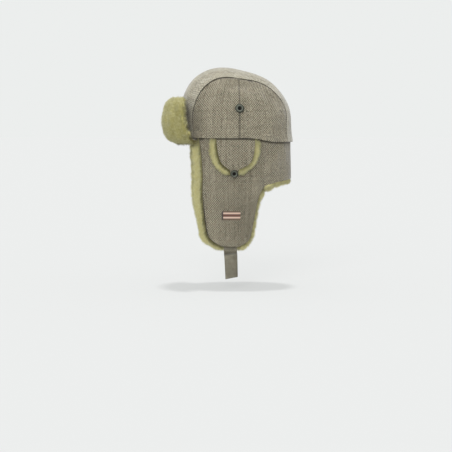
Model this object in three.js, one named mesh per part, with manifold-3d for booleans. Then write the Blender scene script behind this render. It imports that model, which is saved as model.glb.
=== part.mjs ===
// Ushanka of tweed lined with deep pile, as it keeps its form on a head.
// Millimetres, +Z up. The forehead faces -Y and the wearer's left ear is on +X. The origin is the centre
// of the head opening, at the level of the crown's lower edge.
import * as THREE from 'three';
import { mergeVertices } from 'three/addons/utils/BufferGeometryUtils.js';
import Module from 'manifold-3d';

const wasm = await Module();
wasm.setup();

// Driving dimensions
const GAP = 0.4; // between sewn pieces that lie face to face
const SEAM_GAP = 0.6; // along the curved seams
const CLOTH = 2.5; // tweed with its backing
const CROWN_HALF_WIDTH = 84;
const ROUNDNESS = 2.35; // power of the crown's sections, 2 is an ellipse
const HEM = 1; // extra thickness of the crown's folded lower edge
const HEM_HEIGHT = 9;
const REAR_DROP = 8; // how much lower the crown's edge runs at the nape
const DROP_START = 12;
const DROP_END = 70;
const DROP_FADE = 50; // height over which the drop dies out
const SIDE_SEAM = -3; // y of the upright seam in each side panel
const PANEL_ROWS = 4;
const BAND_COLUMNS = 6;
const FLAP_COLUMNS = 6;
const TUCK = 6; // how far the flaps reach up inside the crown
const SKIRT_INSET = CLOTH + HEM + SEAM_GAP; // skirt cloth's outer face, inside the crown's edge curve
const PILE = 9; // depth of the lining's pile behind the cloth
const EAR_SEAM = 47; // y of the seam between ear flap and neck flap

// Crown seen from the side, by the angle from the forehead: its radius about the origin and the
// half width of the middle panel
const CROWN_OUTLINE = [
  { angle: 0, radius: 109, band: 54 },
  { angle: 12, radius: 114, band: 54 },
  { angle: 24, radius: 124.5, band: 53.6 },
  { angle: 34, radius: 135, band: 56 },
  { angle: 44, radius: 142.5, band: 55.4 },
  { angle: 54, radius: 148, band: 54.4 },
  { angle: 64, radius: 148.4, band: 52.4 },
  { angle: 74, radius: 145.3, band: 51.3 },
  { angle: 84, radius: 139.5, band: 51.4 },
  { angle: 96, radius: 132.8, band: 49.4 },
  { angle: 107, radius: 131.1, band: 46.8 },
  { angle: 120, radius: 128.8, band: 45.2 },
  { angle: 131, radius: 124.9, band: 44.6 },
  { angle: 140, radius: 122, band: 41.8 },
  { angle: 150, radius: 118.5, band: 45 },
  { angle: 160, radius: 112.6, band: 48.8 },
  { angle: 170, radius: 107.8, band: 50 },
  { angle: 180, radius: 109.4, band: 49.7 },
  { angle: 200, radius: 109.4, band: 49.7 },
];
const CROWN_STATIONS = 12; // on each side of the upright seam
const CROWN_FIRST_ANGLE = 1.5; // where the side panel's front corner is cut off
const CROWN_LAST_ANGLE = 178.5;

// Curve that the flaps follow at each distance down from the crown's edge
const SKIRT_SECTIONS = [
  { down: -10, halfWidth: 84, halfLength: 109 },
  { down: 0, halfWidth: 84, halfLength: 109 },
  { down: 30, halfWidth: 83.4, halfLength: 109 },
  { down: 60, halfWidth: 81.6, halfLength: 109.5 },
  { down: 90, halfWidth: 78.6, halfLength: 111 },
  { down: 130, halfWidth: 73.4, halfLength: 116 },
  { down: 170, halfWidth: 67.6, halfLength: 122 },
  { down: 240, halfWidth: 58, halfLength: 130 },
];
const SWAY = 7; // how much further back the right ear flap hangs at its lower end
const SWAY_START = 105;
const SWAY_END = 240;

// Soft folds and dents pressed into the flaps, by the angle round the head from the forehead. They
// fade in below the crown's edge
const FOLDS_START = 4;
const FOLDS_FULL = 24;
const SKIRT_FOLDS = [
  { angle: 58, down: 38, depth: 3.5, spread: 7, height: 22 },
  { angle: 50, down: 118, depth: 2, spread: 8, height: 24 },
  { angle: 92, down: 132, depth: -2.5, spread: 16, height: 40 },
  { angle: 112, down: 92, depth: 2, spread: 7, height: 16 },
  { angle: 140, down: 48, depth: 2, spread: 9, height: 22 },
  { angle: 166, down: 52, depth: -1.5, spread: 10, height: 14 },
];

// Ear flap seen from the side: the front and rear edges of its cloth, and the outline that its pile reaches
const EAR_FLAP = [
  { down: -TUCK, front: -81.5, rear: 46.8, pileFront: -82, pileRear: 46.8 },
  { down: 0, front: -81.5, rear: 46.8, pileFront: -85, pileRear: 46.8 },
  { down: 18, front: -79.2, rear: 46.8, pileFront: -92.5, pileRear: 46.8 },
  { down: 38, front: -76.2, rear: 46.8, pileFront: -91.5, pileRear: 46.8 },
  { down: 60, front: -74.5, rear: 46.8, pileFront: -90, pileRear: 46.8 },
  { down: 80, front: -74, rear: 46.8, pileFront: -89.5, pileRear: 46.8 },
  { down: 95, front: -74.6, rear: 46.8, pileFront: -89.5, pileRear: 46.8 },
  { down: 103, front: -74.6, rear: 40.5, pileFront: -89.5, pileRear: 46.8 },
  { down: 114, front: -74.4, rear: 36, pileFront: -89.5, pileRear: 45.6 },
  { down: 130, front: -73.3, rear: 31.8, pileFront: -88, pileRear: 40 },
  { down: 150, front: -71.5, rear: 28.6, pileFront: -85, pileRear: 36 },
  { down: 170, front: -69, rear: 24.8, pileFront: -81.5, pileRear: 33 },
  { down: 190, front: -66, rear: 21.8, pileFront: -78, pileRear: 29.8 },
  { down: 200, front: -58.5, rear: 18, pileFront: -74.5, pileRear: 26.6 },
  { down: 208, front: -47.5, rear: 11, pileFront: -65, pileRear: 22 },
  { down: 215, front: -31, rear: -7.5, pileFront: -53, pileRear: 16 },
];
const EAR_PILE_END = { down: 222, front: -38, rear: 4 };
const RIM_LOCKS_START = 18; // how far down the ear flap's edge its locks begin

// Lower edge of the neck flap's cloth, by the share of the way from the ear seam to the nape
const NECK_FLAP = [
  { share: 0, down: 95 },
  { share: 0.07, down: 90.8 },
  { share: 0.2, down: 87.2 },
  { share: 0.4, down: 84.5 },
  { share: 0.7, down: 81.5 },
  { share: 1, down: 80 },
];
const NECK_COLUMNS = 12;
const NECK_ROWS = 4;
const NECK_PILE_REACH = 7.5;

// Ear cover over each ear, down to the tongue that carries the snap cap: the edges of its cloth, the
// outline that its pile reaches and how far the cloth stands out from the crown's edge curve
const EAR_COVER = [
  { down: 0.7, front: -48.5, rear: 27, pileFront: -62, pileRear: 37.5, out: 0.9 },
  { down: 10, front: -48, rear: 26.8, pileFront: -62.5, pileRear: 37.2, out: 3 },
  { down: 22, front: -47, rear: 26.2, pileFront: -61.8, pileRear: 36.2, out: 4.6 },
  { down: 36, front: -44.5, rear: 24, pileFront: -60, pileRear: 33.6, out: 5 },
  { down: 48, front: -40, rear: 19, pileFront: -56, pileRear: 29, out: 5 },
  { down: 55, front: -33.5, rear: 10.5, pileFront: -51, pileRear: 24, out: 4.8 },
  { down: 61, front: -22.5, rear: -5, pileFront: -45, pileRear: 16.5, out: 4.6 },
];
const COVER_TONGUE = { down: 77, front: -20.5, rear: -8, out: 4.2 };
const COVER_PILE_END = { down: 71.5, front: -30, rear: 1 };
const COVER_COLUMNS = 4;
const COVER_LOCKS_START = 10;
const FUR_COLUMNS = 5;

// Forehead flap: its cloth from inside the crown, under the crown's edge and up in front of it.
// out is the distance in front of the crown's edge curve, up the height and end the angle of its ends
const FRONT_CLOTH = [
  { out: -6.2, up: 6, end: 40 },
  { out: -6.2, up: 0.4, end: 40 },
  { out: -3.8, up: -2.5, end: 40 },
  { out: 3, up: -3.4, end: 40 },
  { out: 11, up: -3.4, end: 40 },
  { out: 18, up: 0.6, end: 40 },
  { out: 21.4, up: 9, end: 39.6 },
  { out: 23, up: 26, end: 39 },
  { out: 23.2, up: 44, end: 37.6 },
  { out: 22, up: 58, end: 36 },
  { out: 20, up: 67, end: 33.4 },
];
const FRONT_COLUMNS = 10;

// Pile on the forehead flap, a row in front of each row of cloth from the fourth on and two rows
// over its upper edge: the outline that the locks reach, and how far behind the cloth's line it starts
const FRONT_FUR = [
  { out: 4, up: -9, end: 40.5 },
  { out: 18, up: -10, end: 41 },
  { out: 32, up: -4, end: 41.6 },
  { out: 40.5, up: 9, end: 41.8 },
  { out: 43.4, up: 26, end: 41.4 },
  { out: 42.8, up: 44, end: 40.2 },
  { out: 39.8, up: 60, end: 38.8 },
  { out: 33, up: 73, end: 36.6 },
  { out: 22, up: 81.5, end: 34.5 },
  { out: 9.5, up: 77, end: 33.8 },
];
const FRONT_FUR_TOP = 1.4; // height of the pile's back over the cloth's upper edge

const MARGIN = 2; // least width of the backing's outermost columns

// A lock of pile: a tapered tuft with its foot in the backing
const LOCK_SIDES = 4;
const LOCK_WAIST = 0.5; // where along its length a lock is widest
const LOCK_FOOT = 0.6; // share of the full width at its foot
const RIM_LOCK = { spacing: 20, width: 18, length: 6.4, depth: 12, foot: 12, tip: 7 };
const NECK_LOCK = { spacing: 20, width: 18, length: 6.4, depth: 11, foot: 12, tip: 10, margin: 0.04 };
const COVER_LOCK = { spacing: 18, width: 16.5, length: 6, depth: 4, foot: 1, tip: 0.6 };
const FRONT_LOCK = { rows: 5, columns: 7, width: 24, lie: 1.5, turn: 4, depth: 11, foot: 0.66, tip: 1.08 };
const FRONT_LOCK_ROWS = { first: 0.5, last: 8.4, parting: 4 }; // on the table of the forehead pile
const FRONT_LOCK_MARGIN = 2; // angle kept free at the pile's ends
const STAGGER = 0.35; // sideways shift of every other row, as a share of its spacing
const UNEVENNESS = 0.12; // of the rows and columns
const RAGGEDNESS = 0.05; // of the tips' reach
const PILE_BASE = 4; // how far the backing stays behind the locks' outline
const FRONT_PILE_BASE = 2.4; // the same on the forehead

// Metal snaps and the woven label
const STUD = { y: SIDE_SEAM, z: 57.5 };
const STUD_PROFILE = [
  { radius: 0, height: 0 },
  { radius: 9, height: 0 },
  { radius: 9, height: 1.3 },
  { radius: 7.4, height: 2.6 },
  { radius: 5.2, height: 2.6 },
  { radius: 3.6, height: 0.9 },
  { radius: 0, height: 0.9 },
];
const CAP = { y: -14.1, down: 69 };
const CAP_PROFILE = [
  { radius: 0, height: 0 },
  { radius: 7.6, height: 0 },
  { radius: 7.6, height: 1.5 },
  { radius: 6.4, height: 2.7 },
  { radius: 3.8, height: 2.1 },
  { radius: 0, height: 3.4 },
];
const SNAP_SEGMENTS = 12;
const LABEL = { front: -34.9, rear: -2.4, top: 142.5, bottom: 160.2, thickness: 0.9, columns: 4 };

// Folded chin strap under each ear flap
const STRAP = {
  y: -20.5, width: 24, cloth: 2.2, fold: 1.4, top: 208, frontTop: 222, bottom: 274, lean: 3.2,
};
const STRAP_BEND_STEPS = 6;
const STRAP_ROOM = 36; // how deep the pile is cut away around the strap

const BISECTIONS = 40; // halvings in the searches for an angle

const COLOURS = { tweed: 0x8b8572, tweedLit: 0xada695, pile: 0xa7a171, metal: 0x64645a, strap: 0x74705f };
const tweed = () => new THREE.MeshStandardMaterial({ color: COLOURS.tweed, roughness: 0.95, metalness: 0 });
const litTweed = () =>
  new THREE.MeshStandardMaterial({ color: COLOURS.tweedLit, roughness: 0.95, metalness: 0 });
const pile = () => new THREE.MeshStandardMaterial({ color: COLOURS.pile, roughness: 1, metalness: 0 });
const metal = () => new THREE.MeshStandardMaterial({ color: COLOURS.metal, roughness: 0.45, metalness: 0.8 });
const webbing = () => new THREE.MeshStandardMaterial({ color: COLOURS.strap, roughness: 0.9, metalness: 0 });
const woven = () => new THREE.MeshStandardMaterial({ color: 0xc8aa98, roughness: 0.8, metalness: 0 });

const radians = THREE.MathUtils.degToRad;
const mix = THREE.MathUtils.lerp;
const smoothstep = THREE.MathUtils.smoothstep;

// One column of a table at a key between its rows, on a smooth curve that never overshoots
function lookUp(table, key, column, at) {
  const last = table.length - 1;
  const place = THREE.MathUtils.clamp(at, table[0][key], table[last][key]);
  const i = Math.min(table.findLastIndex((row) => row[key] <= place), last - 1);
  const slope = (k) => (table[k + 1][column] - table[k][column]) / (table[k + 1][key] - table[k][key]);
  const tangent = (k) => {
    if (k === 0 || k === last) {
      return slope(k === 0 ? 0 : last - 1);
    }
    const before = slope(k - 1);
    const after = slope(k);
    return before * after <= 0 ? 0 : (2 * before * after) / (before + after);
  };
  const step = table[i + 1][key] - table[i][key];
  const t = (place - table[i][key]) / step;
  const rise = table[i][column] * (1 + 2 * t) * (1 - t) ** 2 + table[i + 1][column] * (3 - 2 * t) * t * t;
  return rise + step * (tangent(i) * t * (1 - t) ** 2 - tangent(i + 1) * (1 - t) * t * t);
}

// The crown's edge, and what is sewn to it, runs lower towards the nape
function dropAtNape(point) {
  const fade = 1 - smoothstep(Math.abs(point.z), 0, DROP_FADE);
  point.z -= REAR_DROP * smoothstep(point.y, DROP_START, DROP_END) * fade;
  return point;
}

// Closed wall between an outer and an inner grid of points
function wall(outer, inner) {
  const columns = outer[0].length;
  const layer = outer.length * columns;
  const faces = [];
  const quad = (a, b, c, d) => faces.push(a, b, c, a, c, d);
  for (let i = 0; i < outer.length - 1; i += 1) {
    for (let j = 0; j < columns - 1; j += 1) {
      const a = i * columns + j;
      const d = a + columns;
      quad(a, a + 1, d + 1, d);
      quad(layer + a, layer + d, layer + d + 1, layer + a + 1);
    }
  }
  for (let j = 0; j < columns - 1; j += 1) {
    const end = layer - columns + j;
    quad(j + 1, j, layer + j, layer + j + 1);
    quad(end, end + 1, layer + end + 1, layer + end);
  }
  for (let i = 0; i < outer.length - 1; i += 1) {
    const start = i * columns;
    const end = start + columns - 1;
    quad(start, start + columns, layer + start + columns, layer + start);
    quad(end + columns, end, layer + end, layer + end + columns);
  }
  return surface([...outer.flat(), ...inner.flat()], faces);
}

// Closed surface from points and triangles, with its faces turned outwards
function surface(points, faces) {
  let volume = 0;
  for (let i = 0; i < faces.length; i += 3) {
    const [a, b, c] = [points[faces[i]], points[faces[i + 1]], points[faces[i + 2]]];
    volume += a.dot(new THREE.Vector3().crossVectors(b, c));
  }
  const geometry = new THREE.BufferGeometry().setFromPoints(points);
  geometry.setIndex(volume < 0 ? [...faces].reverse() : faces);
  geometry.computeVertexNormals();
  return geometry;
}

function toSolid(geometry) {
  const bare = geometry.clone();
  bare.deleteAttribute('normal');
  bare.deleteAttribute('uv');
  const merged = mergeVertices(bare);
  const mesh = new wasm.Mesh({
    numProp: 3,
    vertProperties: new Float32Array(merged.attributes.position.array),
    triVerts: new Uint32Array(merged.index.array),
  });
  return new wasm.Manifold(mesh);
}

function toGeometry(solid) {
  const mesh = solid.getMesh();
  const geometry = new THREE.BufferGeometry();
  geometry.setAttribute('position', new THREE.BufferAttribute(new Float32Array(mesh.vertProperties), 3));
  geometry.setIndex(new THREE.BufferAttribute(new Uint32Array(mesh.triVerts), 1));
  geometry.computeVertexNormals();
  return geometry;
}

// Backing with its locks fused to it, cut clear of the pieces that it lies against
function fuse(backing, locks, neighbours) {
  let solid = toSolid(backing);
  for (const lock of locks) {
    solid = solid.add(toSolid(lock));
  }
  for (const neighbour of neighbours) {
    solid = solid.subtract(toSolid(neighbour));
  }
  return toGeometry(solid);
}

// The same piece on the other side of the head
function mirrored(geometry) {
  const copy = geometry.clone();
  copy.scale(-1, 1, 1);
  copy.setIndex([...geometry.index.array].reverse());
  copy.computeVertexNormals();
  return copy;
}

// Right ear flap's pieces hang a little further back at their lower end
function swayed(geometry) {
  const copy = geometry.clone();
  const places = copy.attributes.position;
  for (let i = 0; i < places.count; i += 1) {
    const share = smoothstep(-places.getZ(i), SWAY_START, SWAY_END);
    places.setY(i, places.getY(i) + SWAY * share);
  }
  copy.computeVertexNormals();
  return copy;
}

function named(name, geometry, material) {
  const mesh = new THREE.Mesh(geometry, material);
  mesh.name = name;
  return mesh;
}

// Even, repeatable unevenness between -1 and 1
const uneven = (seed) => 2 * THREE.MathUtils.euclideanModulo(Math.sin(seed * 12.9898) * 43758.5453, 1) - 1;

// Level of a point about the crown's outer face, where 1 is on the face
function crownLevel(x, y, z) {
  const angle = THREE.MathUtils.euclideanModulo((Math.atan2(z, -y) * 180) / Math.PI + 90, 360) - 90;
  const share = Math.hypot(y, z) / lookUp(CROWN_OUTLINE, 'angle', 'radius', angle);
  return share ** ROUNDNESS + (Math.abs(x) / CROWN_HALF_WIDTH) ** ROUNDNESS;
}

function crownNormal(point) {
  const step = 0.05;
  const { x, y, z } = point;
  return new THREE.Vector3(
    crownLevel(x + step, y, z) - crownLevel(x - step, y, z),
    crownLevel(x, y + step, z) - crownLevel(x, y - step, z),
    crownLevel(x, y, z + step) - crownLevel(x, y, z - step),
  ).normalize();
}

// Point on the crown's outer face at an angle from the forehead and a distance from the middle
function crownAtAngle(angle, x) {
  const side = (1 - (Math.abs(x) / CROWN_HALF_WIDTH) ** ROUNDNESS) ** (1 / ROUNDNESS);
  const radius = lookUp(CROWN_OUTLINE, 'angle', 'radius', angle) * side;
  return new THREE.Vector3(x, -radius * Math.cos(radians(angle)), radius * Math.sin(radians(angle)));
}

// Point on the crown's left face where it is seen from the side
function crownAtSide(y, z) {
  const level = crownLevel(0, y, z);
  return new THREE.Vector3(CROWN_HALF_WIDTH * (1 - level) ** (1 / ROUNDNESS), y, z);
}

// Crown wall behind a grid on its outer face, thicker at the folded lower edge
function crownWall(outer) {
  const inner = outer.map((row) => row.map((point) => {
    const thickness = CLOTH + HEM * (1 - smoothstep(point.z, HEM_HEIGHT / 2, HEM_HEIGHT));
    const normal = crownNormal(point);
    normal.z *= smoothstep(point.z, 0, HEM_HEIGHT);
    return point.clone().addScaledVector(normal.normalize(), -thickness);
  }));
  return wall(
    outer.map((row) => row.map((point) => dropAtNape(point.clone()))),
    inner.map((row) => row.map(dropAtNape)),
  );
}

// Angle at which the seam beside the middle panel passes over a given y
function seamAngle(y) {
  let [low, high] = [CROWN_FIRST_ANGLE, CROWN_LAST_ANGLE];
  for (let i = 0; i < BISECTIONS; i += 1) {
    const middle = (low + high) / 2;
    const point = crownAtAngle(middle, lookUp(CROWN_OUTLINE, 'angle', 'band', middle));
    [low, high] = point.y < y ? [middle, high] : [low, middle];
  }
  return low;
}

const topSeamAngle = seamAngle(SIDE_SEAM);
const spread = (from, to, count) => Array.from({ length: count + 1 }, (_, i) => mix(from, to, i / count));
const frontAngles = spread(CROWN_FIRST_ANGLE, topSeamAngle, CROWN_STATIONS);
const rearAngles = spread(topSeamAngle, CROWN_LAST_ANGLE, CROWN_STATIONS);

function topBand() {
  const angles = [0, ...frontAngles, ...rearAngles.slice(1), 180];
  return crownWall(angles.map((angle) => {
    const half = lookUp(CROWN_OUTLINE, 'angle', 'band', angle);
    return spread(-half, half, BAND_COLUMNS).map((x) => crownAtAngle(angle, x));
  }));
}

// Half of a half-moon side panel, from its corner at the crown's edge to the upright seam
function sidePanel(angles, seamSign) {
  const columns = angles.map((angle) => {
    return crownAtAngle(angle, lookUp(CROWN_OUTLINE, 'angle', 'band', angle) + SEAM_GAP);
  });
  const upright = SIDE_SEAM + (seamSign * GAP) / 2;
  const corner = seamSign < 0 ? columns[0] : columns.at(-1);
  const seam = seamSign < 0 ? columns.at(-1) : columns[0];
  seam.copy(crownAtSide(upright, seam.z - GAP / 2));
  const outer = columns.map((top, i) => {
    const t = i / (columns.length - 1);
    const foot = seamSign < 0 ? mix(corner.y, upright, t) : mix(upright, corner.y, t);
    return spread(0, 1, PANEL_ROWS).map((share) => {
      return share === 1 ? top : crownAtSide(mix(foot, top.y, share), mix(0, top.z, share));
    });
  });
  return crownWall(outer);
}

// Point on the flaps' curve, by the angle round the head, moved inwards by an inset
function skirtPoint(angle, down, inset) {
  const turn = radians(angle);
  const rounded = (value) => Math.sign(value) * Math.abs(value) ** (2 / ROUNDNESS);
  const halfWidth = lookUp(SKIRT_SECTIONS, 'down', 'halfWidth', down);
  const halfLength = lookUp(SKIRT_SECTIONS, 'down', 'halfLength', down);
  const x = halfWidth * rounded(Math.sin(turn));
  const y = -halfLength * rounded(Math.cos(turn));
  const normal = new THREE.Vector3(
    Math.sign(x) * Math.abs(x / halfWidth) ** (ROUNDNESS - 1) / halfWidth,
    Math.sign(y) * Math.abs(y / halfLength) ** (ROUNDNESS - 1) / halfLength,
    0,
  ).normalize();
  const around = Math.abs(THREE.MathUtils.euclideanModulo(angle + 180, 360) - 180);
  let fold = 0;
  for (const row of SKIRT_FOLDS) {
    const across = (around - row.angle) / row.spread;
    const along = (down - row.down) / row.height;
    fold += row.depth * Math.exp(-across * across - along * along);
  }
  const depth = inset + fold * smoothstep(down, FOLDS_START, FOLDS_FULL);
  return new THREE.Vector3(x, y, -down).addScaledVector(normal, -depth);
}

// Angle round the head where the flaps' curve, seen from the side, passes a given y
function skirtAngle(y, down, inset) {
  let [low, high] = [0, 180];
  for (let i = 0; i < BISECTIONS; i += 1) {
    const middle = (low + high) / 2;
    [low, high] = skirtPoint(middle, down, inset).y < y ? [middle, high] : [low, middle];
  }
  return low;
}

// Wall on the flaps' curve between two insets, with a table's front and rear edges. grow widens it
function flapWall(table, columns, outerInset, innerInset, grow = 0) {
  const outer = [];
  const inner = [];
  table.forEach((row, i) => {
    const down = row.down + (i === table.length - 1 ? grow : 0) - (i === 0 ? grow : 0);
    const shift = row.out ?? 0;
    const angles = spread(row.front - grow, row.rear + grow, columns).map((y) => {
      return skirtAngle(y, down, outerInset - shift);
    });
    outer.push(angles.map((angle) => dropAtNape(skirtPoint(angle, down, outerInset - shift - grow))));
    inner.push(angles.map((angle) => dropAtNape(skirtPoint(angle, down, innerInset - shift + grow))));
  });
  return wall(outer, inner);
}

// Tapered tuft from a foot to a tip. deep is the direction in which its section is depth thick
function lock(foot, tip, deep, width, depth) {
  const along = tip.clone().sub(foot);
  const across = new THREE.Vector3().crossVectors(along, deep).normalize();
  const up = new THREE.Vector3().crossVectors(across, along).normalize();
  const ring = (share, size) => Array.from({ length: LOCK_SIDES }, (_, i) => {
    const turn = (2 * Math.PI * i) / LOCK_SIDES;
    return foot.clone()
      .addScaledVector(along, share)
      .addScaledVector(across, (Math.cos(turn) * size * width) / 2)
      .addScaledVector(up, (Math.sin(turn) * size * depth) / 2);
  });
  const points = [...ring(0, LOCK_FOOT), ...ring(LOCK_WAIST, 1), tip];
  const faces = [];
  for (let i = 0; i < LOCK_SIDES; i += 1) {
    const next = (i + 1) % LOCK_SIDES;
    faces.push(i, next, LOCK_SIDES + next, i, LOCK_SIDES + next, LOCK_SIDES + i);
    faces.push(LOCK_SIDES + i, LOCK_SIDES + next, 2 * LOCK_SIDES);
  }
  for (let i = 1; i < LOCK_SIDES - 1; i += 1) {
    faces.push(0, i + 1, i);
  }
  return surface(points, faces);
}

// Backing of the pile behind a flap: the cloth's own grid with a column past each free edge and a row
// past the lower edge. It lies between the insets that depths gives for a row
function liningWall(table, columns, pileEnd, depths) {
  const outer = [];
  const inner = [];
  for (const row of [...table, pileEnd]) {
    const seam = row.pileRear === row.rear;
    const first = (row.pileFront ?? row.front - 2 * PILE_BASE) + PILE_BASE;
    const last = (row.pileRear ?? row.rear + 2 * PILE_BASE) - (seam ? 0 : PILE_BASE);
    const ends = [Math.max(row.front, first + MARGIN), Math.min(row.rear, last - MARGIN)];
    const down = row === pileEnd ? row.down - PILE_BASE : row.down;
    const [outerInset, innerInset] = depths(row);
    const angles = [first, ...spread(...ends, columns), last].map((y) => skirtAngle(y, down, outerInset));
    outer.push(angles.map((angle) => dropAtNape(skirtPoint(angle, down, outerInset))));
    inner.push(angles.map((angle) => dropAtNape(skirtPoint(angle, down, innerInset))));
  }
  return wall(outer, inner);
}

// Locks standing out from a flap's free edge, evenly spaced along the outline that they reach. Each
// turns from its foot in the backing towards the cloth's outer face
function rimLocks(table, pileEnd, size, from) {
  const rows = table.filter((row) => row.down >= from);
  const free = rows.filter((row) => row.pileRear < EAR_SEAM - GAP).reverse();
  const curve = new THREE.SplineCurve([
    ...rows.map((row) => new THREE.Vector2(row.pileFront, row.down)),
    new THREE.Vector2(pileEnd.front, pileEnd.down),
    new THREE.Vector2(pileEnd.rear, pileEnd.down),
    ...free.map((row) => new THREE.Vector2(row.pileRear, row.down)),
  ]);
  const count = Math.round(curve.getLength() / size.spacing);
  return spread(0, 1, count).map((share, i) => {
    const edge = curve.getPointAt(share);
    const along = curve.getTangentAt(share);
    const place = (distance, inset) => {
      const [y, down] = [edge.x - along.y * distance, edge.y + along.x * distance];
      return dropAtNape(skirtPoint(skirtAngle(y, down, inset), down, inset));
    };
    const foot = place(-size.length, size.foot);
    const deep = place(-size.length, size.foot - 1).sub(foot);
    return lock(foot, place(uneven(i), size.tip + uneven(3 * i)), deep, size.width, size.depth);
  });
}

const cover = (down) => lookUp([...EAR_COVER, COVER_TONGUE], 'down', 'out', down);
const liningInset = SKIRT_INSET + CLOTH + 2 * GAP;
const strapInset = SKIRT_INSET + CLOTH + 5 * GAP + STRAP.cloth / 2;

// Chin strap: one strip of cloth, folded up in front of itself at its lower end
function strapShape() {
  const half = STRAP.cloth / 2;
  const bend = STRAP.fold / 2 + half;
  const shape = new THREE.Shape();
  const low = -(STRAP.bottom - bend - half);
  shape.moveTo(-half, -STRAP.top);
  shape.lineTo(-half, low);
  shape.absarc(bend, low, bend + half, Math.PI, 2 * Math.PI, false);
  shape.lineTo(2 * bend + half, -STRAP.frontTop);
  shape.lineTo(2 * bend - half, -STRAP.frontTop);
  shape.lineTo(2 * bend - half, low);
  shape.absarc(bend, low, bend - half, 2 * Math.PI, Math.PI, true);
  shape.lineTo(half, -STRAP.top);
  return shape;
}

function hung(geometry) {
  const seat = skirtPoint(skirtAngle(STRAP.y, STRAP.top, strapInset), STRAP.top, strapInset);
  geometry.rotateX(radians(STRAP.lean));
  geometry.translate(seat.x, STRAP.y, -STRAP.top);
  return geometry;
}

function strap() {
  const geometry = new THREE.ExtrudeGeometry(strapShape(), {
    depth: STRAP.width,
    curveSegments: STRAP_BEND_STEPS,
    bevelEnabled: false,
  });
  geometry.rotateX(Math.PI / 2);
  geometry.translate(0, STRAP.width / 2, STRAP.top);
  return hung(mergeVertices(geometry));
}

// Room kept free of pile for the strap, from its back face outwards
function strapRoom() {
  const depth = STRAP_ROOM;
  const geometry = new THREE.BoxGeometry(depth, STRAP.width + 2 * GAP, STRAP.bottom - STRAP.top + 2 * GAP);
  geometry.translate(depth / 2 - STRAP.cloth / 2 - GAP, 0, (STRAP.top - STRAP.bottom) / 2);
  return hung(geometry);
}

// Point of the neck flap, by the share of the way round from the left seam, over the nape, to the right
function neckPoint(round, down, inset, seamGap) {
  const start = skirtAngle(EAR_SEAM + seamGap, down, inset);
  return dropAtNape(skirtPoint(mix(start, 360 - start, round), down, inset));
}

const neckBottom = (round) => lookUp(NECK_FLAP, 'share', 'down', 1 - Math.abs(2 * round - 1));

function neckWall(outerInset, innerInset, rows, columns, reach, grow = 0) {
  const grid = (inset) => spread(0, 1, rows).map((share) => spread(0, 1, columns).map((round) => {
    const down = mix(-TUCK - grow, neckBottom(round) + reach + grow, share);
    return neckPoint(round, down, inset, GAP - grow);
  }));
  return wall(grid(outerInset - grow), grid(innerInset + grow));
}

const neckCloth = (grow = 0) =>
  neckWall(SKIRT_INSET, SKIRT_INSET + CLOTH, NECK_ROWS, NECK_COLUMNS, 0, grow);

function neckLocks() {
  const length = 2 * skirtPoint(180, 0, NECK_LOCK.foot).y;
  const count = Math.round(length / NECK_LOCK.spacing);
  return spread(NECK_LOCK.margin, 1 - NECK_LOCK.margin, count).map((round, i) => {
    const bottom = neckBottom(round) + NECK_PILE_REACH;
    const foot = neckPoint(round, bottom - NECK_LOCK.length, NECK_LOCK.foot, GAP);
    const tip = neckPoint(round, bottom + uneven(i), NECK_LOCK.tip + uneven(5 * i), GAP);
    const deep = neckPoint(round, bottom - NECK_LOCK.length, NECK_LOCK.foot - 1, GAP).sub(foot);
    return lock(foot, tip, deep, NECK_LOCK.width, NECK_LOCK.depth);
  });
}

// Point on the forehead flap: in front of the crown's edge curve by out, at a height
function frontPoint(angle, out, up) {
  return skirtPoint(angle, 0, -out).setZ(up);
}

// The forehead cloth's path moved off across it, and lengthened at both ends
function frontPath(offset, longer = 0) {
  const last = FRONT_CLOTH.length - 1;
  return FRONT_CLOTH.map((row, i) => {
    const before = FRONT_CLOTH[Math.max(i - 1, 0)];
    const after = FRONT_CLOTH[Math.min(i + 1, last)];
    const path = new THREE.Vector2(after.out - before.out, after.up - before.up).normalize();
    const end = (i === last ? longer : 0) - (i === 0 ? longer : 0);
    return {
      out: row.out + offset * path.y + end * path.x,
      up: row.up - offset * path.x + end * path.y,
      end: row.end,
    };
  });
}

function frontWall(outerPath, innerPath, wider = 0) {
  const grid = (path) => path.map(({ out, up }, i) => {
    const end = outerPath[i].end + wider;
    return spread(-end, end, FRONT_COLUMNS).map((angle) => frontPoint(angle, out, up));
  });
  return wall(grid(outerPath), grid(innerPath));
}

const frontCloth = (grow = 0) =>
  frontWall(frontPath(CLOTH / 2 + grow, grow), frontPath(-CLOTH / 2 - grow, grow), grow);

// Back of the forehead pile, along the cloth's front face and over its upper edge
function frontFurBack() {
  const rows = frontPath(CLOTH / 2 + 2 * GAP).slice(-FRONT_FUR.length + 2);
  const top = FRONT_CLOTH.at(-1);
  return [
    ...rows,
    { out: top.out + CLOTH / 2, up: top.up + FRONT_FUR_TOP },
    { out: top.out - CLOTH, up: top.up + FRONT_FUR_TOP },
  ];
}

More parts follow.
